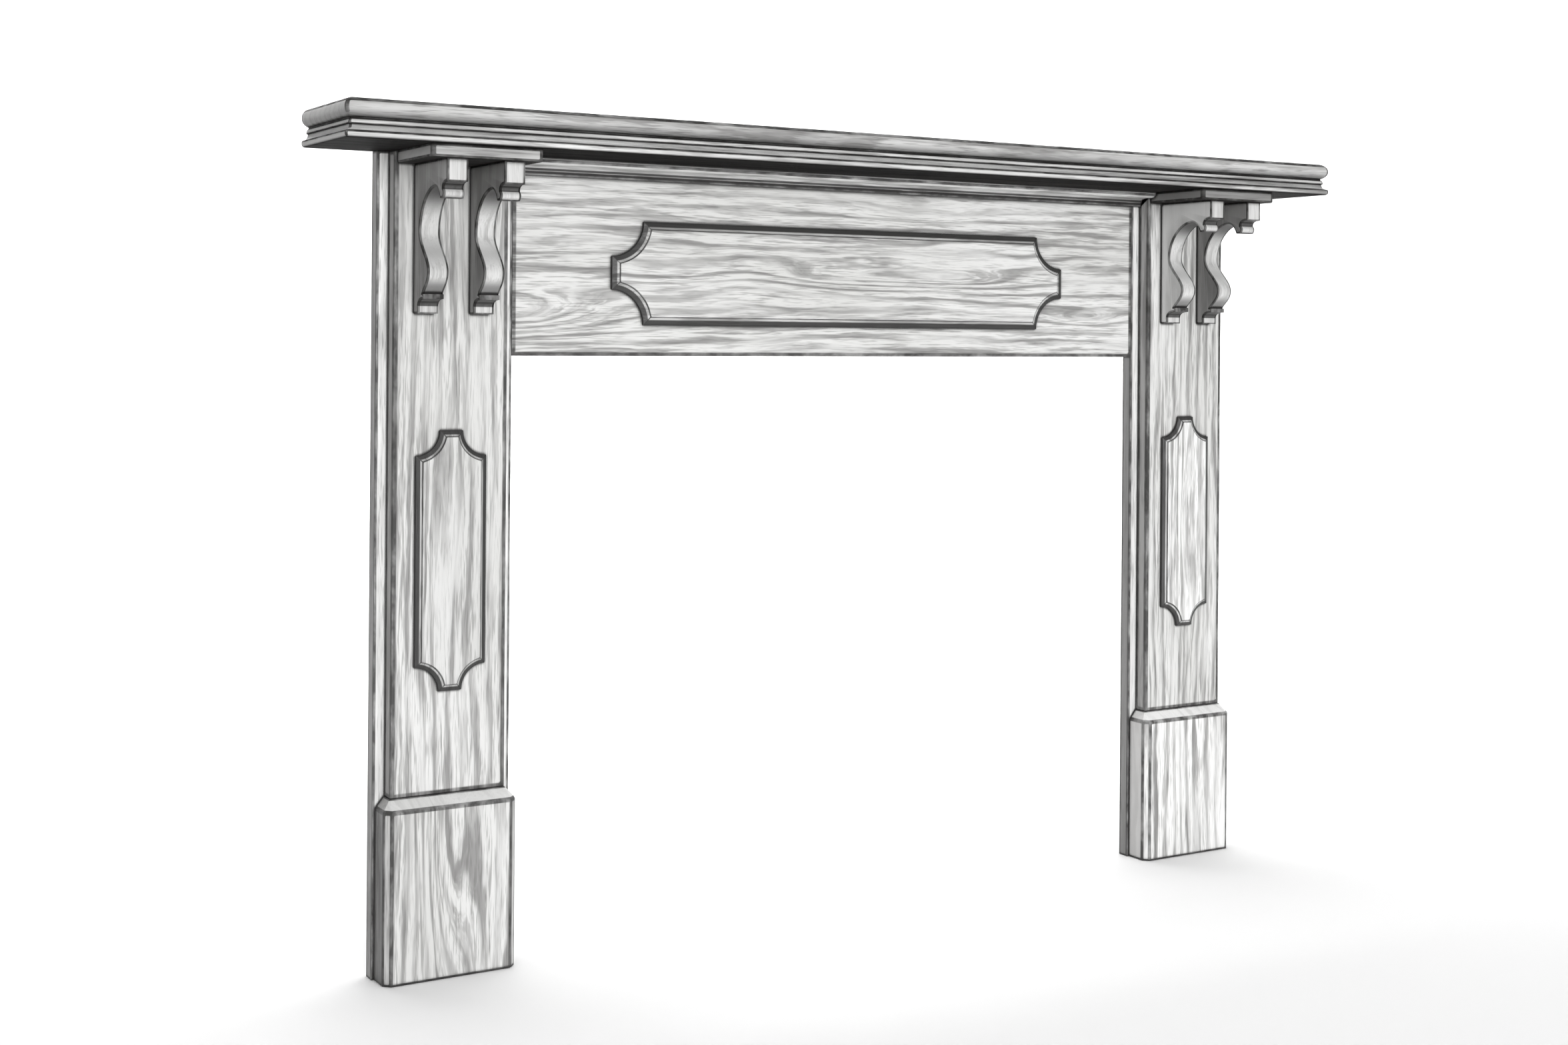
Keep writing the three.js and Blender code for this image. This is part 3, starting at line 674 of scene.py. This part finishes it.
def corbelOutline(height):
    s = corbel
    (blockOut, blockHigh), (beadOut, beadLow, beadHigh, bulge) = s["block"], s["bead"]
    lip, apex, hollow, belly, neck, foot = [Vector(s[key]) for key in ("lip", "apex", "hollow", "belly",
                                                                       "neck", "foot")]
    filletOut, filletLow, filletHigh = s["fillet"]
    beadBack, blockLow = beadOut - bulge, height - blockHigh
    bellyRise, waistRise, archRise = (belly - neck).y, (hollow - belly).y, (apex - hollow).y
    neckPull = s["neckPull"] * (belly - neck)
    waistPull = Vector((0, s["waistPull"] * waistRise))
    curl = lip - apex
    lipPull = Vector((s["lipPull"][0] * curl.x, s["lipPull"][1] * curl.y))
    line = [(0, 0), (foot.x, 0), tuple(foot)]
    line += bezier(foot, (foot.x, filletLow), (filletOut, filletLow), steps=8)
    line += [(filletOut, filletHigh), tuple(neck)]
    line += bezier(neck, neck + neckPull, belly - Vector((0, s["bellyPull"] * bellyRise)), belly, steps=12)
    line += bezier(belly, belly + waistPull, hollow - waistPull, hollow, steps=22)
    line += bezier(hollow, hollow + Vector((0, s["hollowPull"] * archRise)),
                   apex - Vector((s["apexPull"] * (apex - hollow).x, 0)), apex, steps=26)
    line += bezier(apex, apex + Vector((s["curlPull"] * curl.x, 0)), lip - lipPull, lip, steps=12)
    line.append((beadBack, beadLow))
    line += bezier((beadBack, beadLow), (beadBack + 2 * bulge, (beadLow + beadHigh) / 2),
                   (beadBack, beadHigh), steps=18)
    line += bezier((beadBack, beadHigh), (beadBack, blockLow), (blockOut, blockLow), steps=8)
    line += [(blockOut, height), (0, height)]
    return [Vector(p) for p in line]


def makeCorbel(name, spot):
    low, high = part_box(f"corbel_{spot}")
    height, width, ease = (high.z - low.z) / mm, (high.x - low.x) / mm, corbel["arris"]
    outline = corbelOutline(height)
    sharpest = 0.5                                         # keeps a mitre from running out
    inward = []
    for i, here in enumerate(outline):
        before = (here - outline[i - 1]).normalized()
        after = (outline[(i + 1) % len(outline)] - here).normalized()
        middle = Vector((-before.y - after.y, before.x + after.x)).normalized()
        inward.append(middle / max(middle.dot(Vector((-before.y, before.x))), sharpest))
    rings = []
    side = [(corbel["sideInset"], 0.0), (ease, 0.0), (roundMiddle * ease, roundMiddle * ease), (0.0, ease)]
    for inset, x in side + [(inset, width - x) for inset, x in reversed(side)]:
        ring = []
        for point, inwards in zip(outline, inward):
            out, up = point + inwards * inset
            up = min(max(up, 0), height)
            ring.append(Vector((low.x + x * mm, high.y - max(out, 0) * mm, low.z + up * mm)))
        rings.append(ring)
    oak = makeOak(name, standingGrain, corbel["oak"], corbel[spot])
    mesh = ringLoft(name, rings, corbel["reach"])
    finishPiece(name, mesh, oak, f"corbel_{spot}", corbel["reach"])


makeShelfBoard()
makeShelfMoulding()
makeBedMoulding()
print("shelf and mouldings made")
makePlank("friezeBoard", "frieze_board", "frieze_oak", friezeBoard, friezeBoard["seed"], lyingGrain)
makePanel("friezePanel", "frieze_panel", friezePanel)
makePanel("pilasterPanelLeft", "pilaster_panel_left", pilasterPanelLeft)
makePanel("pilasterPanelRight", "pilaster_panel_right", pilasterPanelRight)
print("frieze and panels made")
for side, leg in legs.items():
    ending = side.capitalize()
    for name, node, board in (("legBoard", "leg_board_", legBoard), ("pilaster", "pilaster_", pilaster)):
        seed = board["seed"] + leg["seed"]
        makePlank(name + ending, node + side, "leg_oak", board, seed, standingGrain, leg["lime"])
    makePlinth("plinthBlock" + ending, side)
    makeCap("cap" + ending, side)
    for spot in ("outer", "inner"):
        makeCorbel("corbel" + ending + spot.capitalize(), f"{side}_{spot}")
print("legs, caps and corbels made")


# floor, light and camera, heights from the fixing point

studio = {
    "floor": "#fafafa",
    "floorRoughness": 0.9,
    "halfWidth": 60.0, "front": -60.0,                     # floor
    "sweepFrom": 3.0, "sweepRadius": 2.5, "top": 9.0,      # backdrop
    "sweepStart": 0.1, "sweepSteps": 12,                   # its first angle in radians
    "world": 0.35,
    "lights": {   # place, aim, size and power
        "key": ((-0.96, -6.98, 0.77), (0.0, -0.1, -0.35), (3.5, 2.9), 280.0),
        "overhead": ((0.0, -0.8, 3.4), (0.0, -0.8, -1.0), (4.0, 4.0), 55.0),
        "backdrop": ((3.0, 2.2, 3.9), (3.5, 5.5, 0.3), (11.0, 2.0), 540.0),
    },
}


def makeStudio():
    paint = bpy.data.materials.new("matt white paint")     # chalky, no sheen to mirror the legs
    paint.use_nodes = True
    shader = paint.node_tree.nodes["Principled BSDF"]
    shader.inputs["Base Color"].default_value = hexToLinear(studio["floor"])
    shader.inputs["Roughness"].default_value = studio["floorRoughness"]
    start, radius = studio["sweepFrom"], studio["sweepRadius"]
    section = [(studio["front"], 0.0), (start, 0.0)]       # floor, then a sweep up to the backdrop
    for angle in np.linspace(studio["sweepStart"], math.pi / 2, studio["sweepSteps"]):
        section.append((start + radius * math.sin(angle), radius * (1 - math.cos(angle))))
    section.append((start + radius, studio["top"]))
    count = len(section)
    halfWidth = studio["halfWidth"]
    verts = [(x, y, floorLevel + z) for x in (-halfWidth, halfWidth) for y, z in section]
    faces = [(i, count + i, count + i + 1, i + 1) for i in range(count - 1)]
    mesh = newMesh("floor", verts, faces)
    mesh.shade_smooth()
    mesh.materials.append(paint)
    floor = bpy.data.objects.new("floor", mesh)
    bpy.context.scene.collection.objects.link(floor)

    world = bpy.data.worlds.new("studio")
    world.use_nodes = True
    background = world.node_tree.nodes["Background"]
    background.inputs["Color"].default_value = (1.0, 1.0, 1.0, 1.0)
    background.inputs["Strength"].default_value = studio["world"]
    bpy.context.scene.world = world

    for name, (place, aim, size, power) in studio["lights"].items():
        light = bpy.data.lights.new(name, "AREA")
        light.shape = "RECTANGLE"
        light.size, light.size_y = size
        light.energy = power
        lamp = bpy.data.objects.new(name, light)
        lamp.location = place
        lamp.rotation_euler = (Vector(aim) - Vector(place)).to_track_quat("-Z", "Y").to_euler()
        bpy.context.scene.collection.objects.link(lamp)


view = {
    "imageSize": (2352, 1568),
    "place": (-1.8118, -2.8394, -0.1183),
    "yaw": -30.85, "roll": -0.44,
    "focalPixels": 3001.7,
    "horizonRow": 505.7,       # the picture keeps its uprights upright, so the lens is shifted
}


def makeCamera():
    data = bpy.data.cameras.new("camera")
    data.sensor_width = 36.0
    data.lens = view["focalPixels"] * data.sensor_width / view["imageSize"][0]
    data.shift_y = (view["horizonRow"] - view["imageSize"][1] / 2) / view["imageSize"][0]
    camera = bpy.data.objects.new("camera", data)
    camera.location = view["place"]
    camera.rotation_euler = [math.radians(a) for a in (90, view["roll"], view["yaw"])]
    bpy.context.scene.collection.objects.link(camera)
    bpy.context.scene.camera = camera


makeStudio()
makeCamera()
bpy.context.scene.view_settings.view_transform = "Standard"
print("floor, light and camera made")
